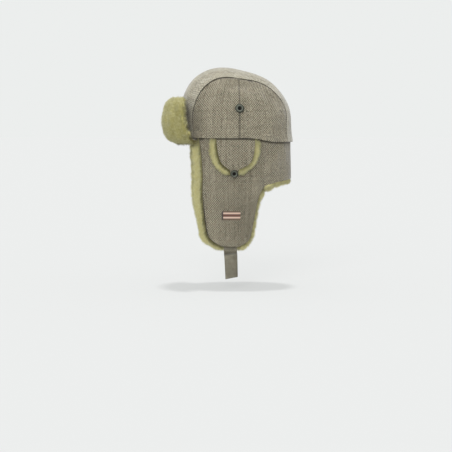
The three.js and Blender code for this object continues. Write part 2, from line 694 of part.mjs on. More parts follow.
// Forehead pile: a padded backing with rows of locks that lie outwards and away from its middle height
function frontFur() {
  const back = frontFurBack();
  const inside = (row, share) => {
    const i = Math.min(Math.floor(row), FRONT_FUR.length - 2);
    const place = (k) => [mix(back[k].out, FRONT_FUR[k].out, share), mix(back[k].up, FRONT_FUR[k].up, share)];
    const [from, to] = [place(i), place(i + 1)];
    return [mix(from[0], to[0], row - i), mix(from[1], to[1], row - i)];
  };
  const outer = FRONT_FUR.map((row, i) => {
    const depth = Math.hypot(row.out - back[i].out, row.up - back[i].up);
    const [out, up] = inside(i, 1 - Math.min(FRONT_PILE_BASE, depth / 3) / depth);
    return { out, up, end: row.end };
  });
  const locks = [];
  const { first, last, parting } = FRONT_LOCK_ROWS;
  const ends = FRONT_FUR.map(({ end }, i) => ({ row: i, end }));
  for (let i = 0; i < FRONT_LOCK.rows; i += 1) {
    const row = mix(first, last, (i + UNEVENNESS * uneven(i + 2)) / (FRONT_LOCK.rows - 1));
    const lie = (row < parting ? -FRONT_LOCK.lie : FRONT_LOCK.lie) / 2;
    const end = lookUp(ends, 'row', 'end', row) - FRONT_LOCK_MARGIN;
    for (let j = 0; j < FRONT_LOCK.columns; j += 1) {
      const seed = 17 * i + 3 * j + 1;
      const column = j + STAGGER * ((i % 2) - 0.5) + UNEVENNESS * uneven(seed);
      const across = THREE.MathUtils.clamp((2 * column) / (FRONT_LOCK.columns - 1) - 1, -1, 1);
      const point = (at, share, turn) => {
        const place = inside(THREE.MathUtils.clamp(at, 0, ends.length - 1), share);
        return frontPoint(end * across + turn, ...place);
      };
      const foot = point(row - lie, FRONT_LOCK.foot, 0);
      const reach = FRONT_LOCK.tip + RAGGEDNESS * uneven(seed + 4);
      const tip = point(row + lie, reach, FRONT_LOCK.turn * across);
      const deep = point(row, 1, 0).sub(point(row, FRONT_LOCK.foot, 0));
      locks.push(lock(foot, tip, deep, FRONT_LOCK.width, FRONT_LOCK.depth));
    }
  }
  const behind = frontWall(frontPath(CLOTH / 2 + GAP), frontPath(-CLOTH), GAP);
  return fuse(frontWall(outer, back), locks, [behind]);
}

function earFur() {
  const backing = liningWall(EAR_FLAP, FLAP_COLUMNS, EAR_PILE_END, () => [liningInset, liningInset + PILE]);
  const locks = rimLocks(EAR_FLAP, EAR_PILE_END, RIM_LOCK, RIM_LOCKS_START);
  const cloth = flapWall(EAR_FLAP, FLAP_COLUMNS, SKIRT_INSET, SKIRT_INSET + CLOTH, GAP);
  return fuse(backing, locks, [cloth, strapRoom()]);
}

// Pile of an ear cover, between the cover's cloth and the ear flap
function earCoverFur() {
  const depths = (row) => [CLOTH + 2 * GAP - (row.out ?? COVER_TONGUE.out), SKIRT_INSET - 2 * GAP];
  const backing = liningWall(EAR_COVER, COVER_COLUMNS, COVER_PILE_END, depths);
  const locks = rimLocks(EAR_COVER, COVER_PILE_END, COVER_LOCK, COVER_LOCKS_START);
  const neighbours = [
    flapWall([...EAR_COVER, COVER_TONGUE], COVER_COLUMNS, 0, CLOTH, GAP),
    flapWall(EAR_FLAP, FLAP_COLUMNS, SKIRT_INSET, liningInset + PILE, GAP),
  ];
  return fuse(backing, locks, neighbours);
}

// Snap parts are turned about their own axis, with their backs on the cloth
function snap(profile) {
  const points = profile.map(({ radius, height }) => new THREE.Vector2(radius, height));
  return new THREE.LatheGeometry(points, SNAP_SEGMENTS);
}

function seated(mesh, point, outwards) {
  mesh.position.copy(point);
  mesh.quaternion.setFromUnitVectors(new THREE.Vector3(0, 1, 0), outwards);
  return mesh;
}

function label() {
  const rows = [{ down: LABEL.top }, { down: LABEL.bottom }].map((row) => ({ ...LABEL, ...row }));
  const back = SKIRT_INSET - GAP;
  return flapWall(rows, LABEL.columns, back - LABEL.thickness, back);
}

const hat = new THREE.Group();
const crown = new THREE.Group();
const flaps = new THREE.Group();
const trim = new THREE.Group();
hat.add(crown, flaps, trim);

crown.add(named('top_band', topBand(), litTweed()));
flaps.add(named('neck_flap', neckCloth(), tweed()));
flaps.add(named('front_flap_cloth', frontCloth(), tweed()));
flaps.add(named('front_flap_fur', frontFur(), pile()));
flaps.add(named('neck_fur', fuse(
  neckWall(liningInset, liningInset + PILE, NECK_ROWS, NECK_COLUMNS, NECK_PILE_REACH - PILE_BASE),
  neckLocks(),
  [neckCloth(GAP)],
), pile()));
trim.add(named('label', label(), woven()));

const frontPanel = sidePanel(frontAngles, -1);
const rearPanel = sidePanel(rearAngles, 1);
const earCloth = flapWall(EAR_FLAP, FLAP_COLUMNS, SKIRT_INSET, SKIRT_INSET + CLOTH);
const earPile = earFur();
const coverCloth = flapWall([...EAR_COVER, COVER_TONGUE], COVER_COLUMNS, 0, CLOTH);
const coverPile = earCoverFur();
const studPoint = crownAtSide(STUD.y, STUD.z);
const studNormal = crownNormal(studPoint);
const capInset = -cover(CAP.down) - 2 * GAP;
const capAngle = skirtAngle(CAP.y, CAP.down, capInset);
const capPoint = skirtPoint(capAngle, CAP.down, capInset);
const capNormal = capPoint.clone().sub(skirtPoint(capAngle, CAP.down, capInset + 1)).normalize();

for (const [side, sign] of [['left', 1], ['right', -1]]) {
  const onSide = (geometry) => (sign > 0 ? geometry : swayed(mirrored(geometry)));
  const flip = new THREE.Vector3(sign, 1, 1);
  crown.add(named(`side_panel_${side}_front`, onSide(frontPanel), tweed()));
  crown.add(named(`side_panel_${side}_rear`, onSide(rearPanel), tweed()));
  flaps.add(named(`ear_flap_${side}`, onSide(earCloth), tweed()));
  flaps.add(named(`ear_fur_${side}`, onSide(earPile), pile()));
  flaps.add(named(`ear_cover_${side}`, onSide(coverCloth), tweed()));
  flaps.add(named(`ear_cover_fur_${side}`, onSide(coverPile), pile()));
  trim.add(named(`strap_${side}`, onSide(strap()), webbing()));
  trim.add(seated(
    named(`snap_stud_${side}`, snap(STUD_PROFILE), metal()),
    studPoint.clone().addScaledVector(studNormal, GAP).multiply(flip),
    studNormal.clone().multiply(flip),
  ));
  trim.add(seated(
    named(`snap_cap_${side}`, snap(CAP_PROFILE), metal()),
    capPoint.clone().multiply(flip),
    capNormal.clone().multiply(flip),
  ));
}

export default hat;
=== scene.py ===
import math

import bpy
import numpy as np
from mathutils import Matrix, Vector, bvhtree, kdtree


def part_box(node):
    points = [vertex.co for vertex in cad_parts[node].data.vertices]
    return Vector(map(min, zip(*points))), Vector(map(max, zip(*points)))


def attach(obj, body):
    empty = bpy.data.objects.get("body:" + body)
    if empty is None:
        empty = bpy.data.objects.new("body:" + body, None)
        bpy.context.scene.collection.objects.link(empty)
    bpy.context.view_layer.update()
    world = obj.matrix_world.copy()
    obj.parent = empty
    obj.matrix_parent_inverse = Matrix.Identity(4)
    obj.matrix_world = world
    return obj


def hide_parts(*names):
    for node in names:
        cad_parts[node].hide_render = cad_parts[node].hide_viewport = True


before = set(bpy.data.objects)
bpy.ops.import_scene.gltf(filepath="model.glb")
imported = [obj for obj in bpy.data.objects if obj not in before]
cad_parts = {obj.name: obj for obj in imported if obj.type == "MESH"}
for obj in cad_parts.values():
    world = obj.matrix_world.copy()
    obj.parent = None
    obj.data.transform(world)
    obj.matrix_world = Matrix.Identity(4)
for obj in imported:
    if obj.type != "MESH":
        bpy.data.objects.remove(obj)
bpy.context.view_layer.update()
bpy.ops.object.select_all(action="DESELECT")

# Camera. A long lens looks at the left side of the hat from a little above it, as in a product
# photograph, so that the near and the far ear flap almost cover each other.
CAMERA_AZIMUTH = math.radians(86)
CAMERA_ELEVATION = math.radians(4)
CAMERA_DISTANCE = 3.0
CAMERA_LENS = 119.5
AIM = Vector((0, -0.024, -0.1763))

level = math.cos(CAMERA_ELEVATION)
away = Vector((
    math.sin(CAMERA_AZIMUTH) * level,
    -math.cos(CAMERA_AZIMUTH) * level,
    math.sin(CAMERA_ELEVATION),
))
bpy.ops.object.camera_add(location=AIM + CAMERA_DISTANCE * away)
camera = bpy.context.object
camera.name = "camera"
camera.data.lens = CAMERA_LENS
camera.data.clip_end = 30
camera.rotation_euler = away.to_track_quat("Z", "Y").to_euler()
bpy.context.scene.camera = camera


# Crown: a middle panel from the forehead over the top to the nape, and four side panels that meet at an
# upright seam over each ear. They are sewn edge to edge of woven tweed with its edges turned in, so
# each seam is a narrow valley, and the crown's lower edge is a folded hem.
CROWN_HALF_WIDTH = 0.084
CROWN_HALF_LENGTH = 0.109
CROWN_ROUNDNESS = 2.35
CLOTH_EDGE_ANGLE = math.radians(38)
JOINED_FACET_ANGLE = math.radians(60)
HEM_ROLL = 0.001
SMALLEST_FACET = 0.001


def cloth_copy(node, name, roll=HEM_ROLL, weld=SMALLEST_FACET, levels=2):
    """A piece in the place of a sewn wall: its welded copy, with its turned-in edges rolled round."""
    piece = bpy.data.objects.new(name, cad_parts[node].data.copy())
    bpy.context.scene.collection.objects.link(piece)
    bpy.ops.object.select_all(action="DESELECT")
    bpy.context.view_layer.objects.active = piece
    piece.select_set(True)
    bpy.ops.object.mode_set(mode="EDIT")
    bpy.ops.mesh.select_all(action="SELECT")
    bpy.ops.mesh.remove_doubles(threshold=weld)
    bpy.ops.mesh.tris_convert_to_quads(
        face_threshold=JOINED_FACET_ANGLE, shape_threshold=JOINED_FACET_ANGLE
    )
    bpy.ops.object.mode_set(mode="OBJECT")
    edge = piece.modifiers.new("edge", "BEVEL")
    edge.width = roll
    edge.segments = 2
    edge.limit_method = "ANGLE"
    edge.angle_limit = CLOTH_EDGE_ANGLE
    bpy.ops.object.modifier_apply(modifier="edge")
    rounding = piece.modifiers.new("rounding", "SUBSURF")
    rounding.levels = levels
    rounding.render_levels = levels
    bpy.ops.object.modifier_apply(modifier="rounding")
    bpy.ops.object.shade_smooth()
    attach(piece, "root")
    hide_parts(node)
    return piece


def points_of(piece):
    """A piece's vertices as rows of x, y and z."""
    flat = np.empty(3 * len(piece.data.vertices))
    piece.data.vertices.foreach_get("co", flat)
    return flat.reshape(-1, 3)


def move_points(piece, points):
    piece.data.vertices.foreach_set("co", points.ravel())
    piece.data.update()


def normals_of(piece):
    flat = np.empty(3 * len(piece.data.vertices))
    piece.data.vertex_normals.foreach_get("vector", flat)
    return flat.reshape(-1, 3)


def distance_round(points):
    """How far round the head a point lies from the middle of the left side, along the crown's edge."""
    turn = np.linspace(0, 2 * math.pi, 721)
    edge_x = CROWN_HALF_WIDTH * np.sign(np.cos(turn)) * np.abs(np.cos(turn)) ** (2 / CROWN_ROUNDNESS)
    edge_y = CROWN_HALF_LENGTH * np.sign(np.sin(turn)) * np.abs(np.sin(turn)) ** (2 / CROWN_ROUNDNESS)
    along = np.concatenate([[0], np.cumsum(np.hypot(np.diff(edge_x), np.diff(edge_y)))])
    bearing = np.arctan2(edge_y, edge_x) % (2 * math.pi)
    bearing[-1] = 2 * math.pi
    place = np.interp(np.arctan2(points[:, 1], points[:, 0]) % (2 * math.pi), bearing, along)
    # The cut behind a piece, so that the weave runs on through its middle
    middle = points.mean(axis=0)
    centre = np.interp(math.atan2(middle[1], middle[0]) % (2 * math.pi), bearing, along)
    return centre + (place - centre + along[-1] / 2) % along[-1] - along[-1] / 2


def lay_weave(piece, across, along):
    """Stores where each point of a piece lies on its cut cloth, in metres, for the weave."""
    points = points_of(piece)
    flat = np.stack([across(points), along(points)], axis=1)
    corners = np.empty(len(piece.data.loops), dtype=int)
    piece.data.loops.foreach_get("vertex_index", corners)
    layer = piece.data.uv_layers.new(name="cut")
    layer.data.foreach_set("uv", flat[corners].ravel())


def blend(tree, share, a, b):
    """Mixes two colours, each of them a value or another node's output."""
    node = tree.nodes.new("ShaderNodeMix")
    node.data_type = "RGBA"
    for socket, value in (("Factor", share), ("A", a), ("B", b)):
        if isinstance(value, tuple):
            node.inputs[socket].default_value = value
        else:
            tree.links.new(value, node.inputs[socket])
    return node.outputs["Result"]


def clouds(tree, scale, detail, place):
    """Soft noise at a place, as the node itself."""
    node = tree.nodes.new("ShaderNodeTexNoise")
    node.inputs["Scale"].default_value = scale
    node.inputs["Detail"].default_value = detail
    tree.links.new(place, node.inputs["Vector"])
    return node


def spread(tree, value, low, high, least=0.0, most=1.0):
    """Stretches what lies between low and high to run from least to most."""
    node = tree.nodes.new("ShaderNodeMapRange")
    for socket, given in (("From Min", low), ("From Max", high), ("To Min", least), ("To Max", most)):
        node.inputs[socket].default_value = given
    tree.links.new(value, node.inputs["Value"])
    return node.outputs[0]


def attribute(tree, name):
    node = tree.nodes.new("ShaderNodeAttribute")
    node.attribute_name = name
    return node.outputs["Fac"]


def bumped(tree, height, strength, distance):
    """A bump node that reads a height, with no normal under it yet."""
    node = tree.nodes.new("ShaderNodeBump")
    node.inputs["Strength"].default_value = strength
    node.inputs["Distance"].default_value = distance
    tree.links.new(height, node.inputs["Height"])
    return node


def new_material(name):
    material = bpy.data.materials.new(name)
    material.use_nodes = True
    return material, material.node_tree, material.node_tree.nodes["Principled BSDF"]


YARN_WANDER = 0.35
FLOAT_TONE = 0.65
YARN_TONE = 0.22
LOT_TONE = 0.22
CREVICE_SHADE = 0.55


def cloth_group():
    """Woven tweed as a colour and a height: a hopsack of light and dark yarns, each with its own tone."""
    tree = bpy.data.node_groups.new("tweed_weave", "ShaderNodeTree")
    sockets = [
        ("Light", "NodeSocketColor", (0.5, 0.45, 0.35, 1)),
        ("Dark", "NodeSocketColor", (0.1, 0.09, 0.06, 1)),
        ("Warm", "NodeSocketColor", (0.4, 0.3, 0.2, 1)),
        ("Repeat", "NodeSocketFloat", 0.0048),
        ("Contrast", "NodeSocketFloat", 1.0),
    ]
    for socket, kind, value in sockets:
        tree.interface.new_socket(socket, in_out="INPUT", socket_type=kind).default_value = value
    tree.interface.new_socket("Color", in_out="OUTPUT", socket_type="NodeSocketColor")
    tree.interface.new_socket("Height", in_out="OUTPUT", socket_type="NodeSocketFloat")
    nodes, links = tree.nodes, tree.links
    given = nodes.new("NodeGroupInput")
    result = nodes.new("NodeGroupOutput")

    def math_node(operation, *values):
        node = nodes.new("ShaderNodeMath")
        node.operation = operation
        for socket, value in zip(node.inputs, values):
            if isinstance(value, (int, float)):
                socket.default_value = value
            else:
                links.new(value, socket)
        return node.outputs[0]

    cut = nodes.new("ShaderNodeUVMap")
    cut.uv_map = "cut"
    place = nodes.new("ShaderNodeSeparateXYZ")
    links.new(cut.outputs[0], place.inputs[0])
    weft = math_node("DIVIDE", place.outputs[0], given.outputs["Repeat"])
    warp = math_node("DIVIDE", place.outputs[1], given.outputs["Repeat"])

    # Hand-spun yarns wander a little to either side
    wander = clouds(tree, 260, 1, cut.outputs[0])
    drawn = nodes.new("ShaderNodeSeparateColor")
    links.new(wander.outputs["Color"], drawn.inputs[0])
    weft = math_node("MULTIPLY_ADD", drawn.outputs[0], YARN_WANDER, weft)
    warp = math_node("MULTIPLY_ADD", drawn.outputs[1], YARN_WANDER, warp)

    # Hopsack: pairs of light warp yarns and pairs of dark weft yarns take turns on the face
    turn = math_node(
        "MULTIPLY",
        math_node("SINE", math_node("MULTIPLY", weft, 2 * math.pi)),
        math_node("SINE", math_node("MULTIPLY", warp, 2 * math.pi)),
    )
    warp_up = spread(tree, turn, -0.22, 0.22)

    def either(warp_value, weft_value):
        """Takes the yarn that lies on the face."""
        node = nodes.new("ShaderNodeMix")
        links.new(warp_up, node.inputs["Factor"])
        links.new(weft_value, node.inputs["A"])
        links.new(warp_value, node.inputs["B"])
        return node.outputs["Result"]

    def tone(x, y, x_scale, y_scale):
        """Random tone of a yarn or of one of its floats, about zero."""
        joined = nodes.new("ShaderNodeCombineXYZ")
        for socket, value, scale in ((0, x, x_scale), (1, y, y_scale)):
            if value is not None:
                links.new(math_node("FLOOR", math_node("MULTIPLY", value, scale)), joined.inputs[socket])
        white = nodes.new("ShaderNodeTexWhiteNoise")
        white.noise_dimensions = "3D"
        links.new(joined.outputs[0], white.inputs["Vector"])
        return math_node("SUBTRACT", white.outputs["Value"], 0.5)

    def strand(value):
        """Round section of the yarns that run side by side in a pair."""
        return math_node("ABSOLUTE", math_node("SINE", math_node("MULTIPLY", value, 4 * math.pi)))

    floats = either(tone(weft, warp, 4, 2), tone(weft, warp, 2, 4))
    yarns = math_node("MULTIPLY_ADD", tone(None, warp, 0, 4), 0.5, tone(weft, None, 4, 0))
    thickness = math_node("MULTIPLY_ADD", tone(None, warp, 0, 2), 0.4, tone(weft, None, 2, 0))
    roundness = either(strand(weft), strand(warp))

    # Broad patches, where the yarn lot is a little lighter or warmer, and where light and dark stand out
    # or melt into each other
    place_on_hat = nodes.new("ShaderNodeTexCoord")

    def patches(scale, low, high, least, most):
        cloud = clouds(tree, scale, 2, place_on_hat.outputs["Object"])
        return spread(tree, cloud.outputs["Fac"], low, high, least, most)

    broad = patches(30, 0.3, 0.7, -0.09, 0.09)
    strength = patches(70, 0.35, 0.62, 0.4, 1.2)
    warmth = patches(150, 0.45, 0.75, 0.0, 0.4)

    check = math_node("MULTIPLY", math_node("SUBTRACT", warp_up, 0.5), strength)
    weave = math_node("MULTIPLY_ADD", floats, FLOAT_TONE, check)
    weave = math_node("MULTIPLY_ADD", yarns, YARN_TONE, weave)
    weave = math_node("MULTIPLY_ADD", thickness, LOT_TONE, weave)
    share = math_node("ADD", math_node("MULTIPLY_ADD", weave, given.outputs["Contrast"], 0.5), broad)

    yarn = blend(tree, share, given.outputs["Dark"], given.outputs["Light"])
    yarn = blend(tree, warmth, yarn, given.outputs["Warm"])
    # Painted shade in the crevices between the round yarns
    crevice = math_node("MULTIPLY_ADD", roundness, -CREVICE_SHADE, CREVICE_SHADE)
    links.new(blend(tree, crevice, yarn, given.outputs["Dark"]), result.inputs["Color"])
    links.new(math_node("MULTIPLY_ADD", floats, 0.4, roundness), result.inputs["Height"])
    return tree


TWEED_WEAVE = cloth_group()
# Painted shade: the colour mixed into the tweed where a piece is marked for shade
PAINTED_SHADE_COLOUR = (0.03, 0.025, 0.016, 1)
RUMPLE_HEIGHT = 0.018
YARN_HEIGHT = 0.0004


def tweed(name, light, dark, warm, contrast=1.35):
    """Wool tweed: the weave over soft rumples, with painted shade in its seams and creases, and a nap that
    catches light.
    """
    material, tree, shader = new_material(name)
    nodes, links = tree.nodes, tree.links
    weave = nodes.new("ShaderNodeGroup")
    weave.node_tree = TWEED_WEAVE
    weave.inputs["Light"].default_value = light
    weave.inputs["Dark"].default_value = dark
    weave.inputs["Warm"].default_value = warm
    weave.inputs["Contrast"].default_value = contrast
    place = nodes.new("ShaderNodeTexCoord")
    rumples = clouds(tree, 30, 2, place.outputs["Object"])
    rumpled = bumped(tree, rumples.outputs["Fac"], 0.6, RUMPLE_HEIGHT)
    bump = bumped(tree, weave.outputs["Height"], 0.5, YARN_HEIGHT)
    links.new(rumpled.outputs["Normal"], bump.inputs["Normal"])
    # Painted shade where the piece is marked for it
    shaded = blend(tree, attribute(tree, "seam"), weave.outputs["Color"], PAINTED_SHADE_COLOUR)
    links.new(shaded, shader.inputs["Base Color"])
    links.new(bump.outputs["Normal"], shader.inputs["Normal"])
    shader.inputs["Roughness"].default_value = 0.95
    shader.inputs["Specular IOR Level"].default_value = 0.2
    shader.inputs["Sheen Weight"].default_value = 0.35
    shader.inputs["Sheen Roughness"].default_value = 0.5
    shader.inputs["Sheen Tint"].default_value = (0.95, 0.95, 1, 1)
    return material


CROWN_TWEED = tweed(
    "crown_tweed",
    light=(0.45, 0.41, 0.305, 1),
    dark=(0.072, 0.063, 0.042, 1),
    warm=(0.26, 0.205, 0.145, 1),
)
# Painted light: a lighter copy of the crown tweed for the middle panel, standing in for the overhead light
# on the top
CROWN_TWEED_PAINTED_LIGHT = tweed(
    "crown_tweed_painted_light",
    light=(0.62, 0.585, 0.46, 1),
    dark=(0.14, 0.125, 0.09, 1),
    warm=(0.38, 0.32, 0.24, 1),
    contrast=1.1,
)
TOP_RADIUS = 0.125


def finish_cloth(piece, material, across, along):
    """Lays the weave on a cloth piece and gives it its material."""
    lay_weave(piece, across, along)
    piece.data.materials.clear()
    piece.data.materials.append(material)


def over_the_top(points):
    """How far a point lies from the forehead over the top to the nape."""
    return np.arctan2(points[:, 2], -points[:, 1]) * TOP_RADIUS


def height(points):
    return points[:, 2]


def surface_of(pieces):
    """One search tree over the faces of some pieces."""
    corners, faces = [], []
    for piece in pieces:
        first = len(corners)
        corners += [v.co.copy() for v in piece.data.vertices]
        faces += [[first + i for i in p.vertices] for p in piece.data.polygons]
    return bvhtree.BVHTree.FromPolygons(corners, faces)


SEAM_REACH = 0.0014
BAND_SEAM_REACH = 0.0017
SEAM_LAP = 0.001
INNER_SIDE = -0.2


def press_seam(piece, neighbours, reach, shade, opening=0.0, depth=0.0):
    """Draws a piece's edge away from its neighbours and down into the seam's valley, where the needle
    pulled it, and marks it for painted shade, as shade gathers there. Inside, an opened edge laps its
    neighbour as a seam allowance does, so that no light comes through."""
    others = surface_of(neighbours)
    points, normals = points_of(piece), normals_of(piece)
    outwards = points / np.linalg.norm(points, axis=1)[:, None]
    if "seam" not in piece.data.attributes:
        piece.data.attributes.new("seam", "FLOAT", "POINT")
    seam = np.empty(len(points))
    piece.data.attributes["seam"].data.foreach_get("value", seam)
    for i, point in enumerate(points):
        nearest = others.find_nearest(Vector(point), reach)[0]
        if nearest is not None:
            apart = np.array((Vector(point) - nearest).normalized())
            inner = opening > 0 and normals[i] @ outwards[i] < INNER_SIDE
            points[i] += (-SEAM_LAP if inner else opening) * apart - depth * outwards[i]
            seam[i] = max(seam[i], shade)
    move_points(piece, points)
    piece.data.attributes["seam"].data.foreach_set("value", seam)


# Seams are pressed into valleys and marked for painted shade
UPRIGHT_SEAM = {"shade": 0.3, "opening": 0.0001, "depth": 0.0003}
BAND_SEAM = {"shade": 0.95, "opening": 0.0005, "depth": 0.0007}
crown_middle = cloth_copy("top_band", "crown_middle_panel")
side_panels = []
for side in ("left", "right"):
    front, rear = [
        cloth_copy(f"side_panel_{side}_{part}", f"crown_{side}_{part}_panel") for part in ("front", "rear")
    ]
    press_seam(front, [rear], SEAM_REACH, **UPRIGHT_SEAM)
    press_seam(rear, [front], SEAM_REACH, **UPRIGHT_SEAM)
    side_panels += [front, rear]
press_seam(crown_middle, side_panels, SEAM_REACH, **BAND_SEAM)
for panel in side_panels:
    press_seam(panel, [crown_middle], BAND_SEAM_REACH, **BAND_SEAM)

HEM_RISE = 0.016
HEM_FLARE = 0.0020
HEM_STEP = 6


def flare_hem(piece):
    """Turns a crown panel's lower edge out a little, because its hem is three layers of cloth."""
    points = points_of(piece)
    bearing = np.degrees(np.arctan2(points[:, 1], points[:, 0])) // HEM_STEP
    for sector in np.unique(bearing):
        here = bearing == sector
        above = points[here, 2] - points[here, 2].min()
        share = np.clip(1 - above / HEM_RISE, 0, 1) ** 2
        level_out = points[here] * (1, 1, 0)
        level_out /= np.linalg.norm(level_out, axis=1)[:, None]
        points[here] += level_out * (HEM_FLARE * share)[:, None]
    move_points(piece, points)


# The middle panel takes the lighter copy of the tweed, as painted light on the top
finish_cloth(crown_middle, CROWN_TWEED_PAINTED_LIGHT, lambda points: points[:, 0], over_the_top)
for panel in side_panels:
    flare_hem(panel)
    finish_cloth(panel, CROWN_TWEED, distance_round, height)


# Ear flaps and neck flap: long tweed flaps sewn under the crown's hem, one over each ear and a short
# skirt round the nape between them.
PRESSED_ROLL = 0.0005
EDGE_LINE = 0.0016
EDGE_LINE_SHADE = 0.95
HEM_SHADE_REACH = 0.004
HEM_SHADE = 0.75
ear_cloths = {}
for side in ("left", "right"):
    ear_cloths[side] = cloth_copy(f"ear_flap_{side}", f"ear_flap_{side}_cloth", roll=PRESSED_ROLL)
neck = cloth_copy("neck_flap", "neck_flap_cloth", roll=PRESSED_ROLL)


def shade_front_edge(piece):
    """Marks a flap's front and lower edge for painted shade in the crease where the lining rolls out."""
    points, normals = points_of(piece), normals_of(piece)
    out = np.zeros((len(points), 3))
    for axis, half in ((0, CROWN_HALF_WIDTH), (1, CROWN_HALF_LENGTH)):
        slope = np.abs(points[:, axis] / half) ** (CROWN_ROUNDNESS - 1) / half
        out[:, axis] = np.sign(points[:, axis]) * slope
    out /= np.linalg.norm(out, axis=1)[:, None]
    aside = normals - out * (normals * out).sum(axis=1)[:, None]
    amount = np.linalg.norm(aside, axis=1)
    forward = 0.5 - 0.5 * aside[:, 1] / np.maximum(amount, 0.01)
    seam = np.empty(len(points))
    piece.data.attributes["seam"].data.foreach_get("value", seam)
    edge = EDGE_LINE_SHADE * np.clip(amount * 1.6, 0, 1) * np.clip(forward * 1.7 - 0.1, 0, 1)
    rims = np.flatnonzero(edge > 0.6)
    near = kdtree.KDTree(len(rims))
    for i in rims:
        near.insert(points[i], i)
    near.balance()
    for i, point in enumerate(points):
        _, rim, distance = near.find(point)
        if distance < EDGE_LINE:
            edge[i] = max(edge[i], edge[rim])
    piece.data.attributes["seam"].data.foreach_set("value", np.maximum(seam, edge))


for flap in ear_cloths.values():
    press_seam(flap, [neck], SEAM_REACH, shade=0, opening=-0.0004)
press_seam(neck, list(ear_cloths.values()), SEAM_REACH, shade=0, opening=-0.0003)
for flap in (neck, *ear_cloths.values()):
    # Painted shade under the crown's hem along the top of each flap
    press_seam(flap, [crown_middle, *side_panels], HEM_SHADE_REACH, HEM_SHADE)
    if flap is not neck:
        shade_front_edge(flap)
    finish_cloth(flap, CROWN_TWEED, distance_round, height)


# Pile of the forehead flap: a thick olive plush on the turned-up flap in front of the crown. Its fibres
# stand in soft clumps on a knitted back, so it looks like a padded roll with a downy outline.
PILE_WELD = 0.0035
PILE_ROOT_WIDTH = 0.00042
COMBED_REACH = 0.012
EDGE_SHADE_REACH = 0.005
INSIDE_SHADE = 0.5
TOP_SHADE = 0.4
LINING_SIDE = 0.4
FLAP_END_DROOP = 0.008


def pile_pad(
    node, name, voxel, rounds, sink, cloths, lining_share=1.0, fuller_in_front=0.0, crease=1.0
):
    """The soft body under the fibres: a CAD solid melted into one smooth form and drawn in by sink.
    Nothing grows where one of its cloths lies close in front of it. Along the cloths' edges the fibres
    are combed outwards, and the side towards the head grows a share of what the rest does. The pile is
    marked for painted shade beside the cloths by crease, and also inside the hat and on its upper side."""
    pad = bpy.data.objects.new(name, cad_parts[node].data.copy())
    bpy.context.scene.collection.objects.link(pad)
    bpy.ops.object.select_all(action="DESELECT")
    bpy.context.view_layer.objects.active = pad
    pad.select_set(True)
    bpy.ops.object.mode_set(mode="EDIT")
    bpy.ops.mesh.select_all(action="SELECT")
    bpy.ops.mesh.remove_doubles(threshold=0.00001)
    bpy.ops.object.mode_set(mode="OBJECT")
    pad.data.remesh_voxel_size = voxel
    bpy.ops.object.voxel_remesh()
    bpy.ops.object.mode_set(mode="EDIT")
    bpy.ops.mesh.select_all(action="SELECT")
    bpy.ops.mesh.vertices_smooth(factor=0.5, repeat=rounds)
    bpy.ops.object.mode_set(mode="OBJECT")
    bpy.ops.object.shade_smooth()
    points, normals = points_of(pad), normals_of(pad)
    cover = np.ones(len(points))
    pile_shade = np.zeros(len(points))
    combed = np.zeros((len(points), 3))
    for cloth, reach in cloths:
        tree = bvhtree.BVHTree.FromPolygons(
            [v.co for v in cloth.data.vertices], [p.vertices for p in cloth.data.polygons]
        )
        for i, (point, normal) in enumerate(zip(points, normals)):
            if tree.ray_cast(Vector(point), Vector(normal), reach)[0] is not None:
                cover[i] = 0
            nearest, _, _, distance = tree.find_nearest(Vector(point))
            outwards = Vector(point) - nearest
            combed[i] += np.array(outwards.normalized()) * max(0, 1 - distance / COMBED_REACH)
            forward = 0.5 - 0.5 * outwards.normalized().y
            closeness = min(1, 1.6 * (1 - distance / EDGE_SHADE_REACH))
            pile_shade[i] = max(pile_shade[i], closeness * min(1, forward * 1.6))
    drawn_in = sink - fuller_in_front * np.clip(-normals[:, 1], 0, 1)
    move_points(pad, points - normals * (drawn_in * cover)[:, None])
    bearing = points * (1, 1, 0)
    bearing /= np.linalg.norm(bearing, axis=1)[:, None]
    inwards = np.clip(-(normals * bearing).sum(axis=1), 0, 1)
    pile_shade = np.maximum(crease * pile_shade, INSIDE_SHADE * inwards)
    pile_shade = np.maximum(pile_shade, TOP_SHADE * np.clip(normals[:, 2], 0, 1))
    lining = inwards > LINING_SIDE
    grows = pad.data.attributes.new("grows", "FLOAT", "POINT")
    grows.data.foreach_set("value", cover * np.where(lining, lining_share, 1))
    near = pad.data.attributes.new("painted_pile_shade", "FLOAT", "POINT")
    near.data.foreach_set("value", pile_shade)
    comb = pad.data.attributes.new("combed", "FLOAT_VECTOR", "POINT")
    comb.data.foreach_set("vector", combed.ravel())
    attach(pad, "root")
    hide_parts(node)
    return pad


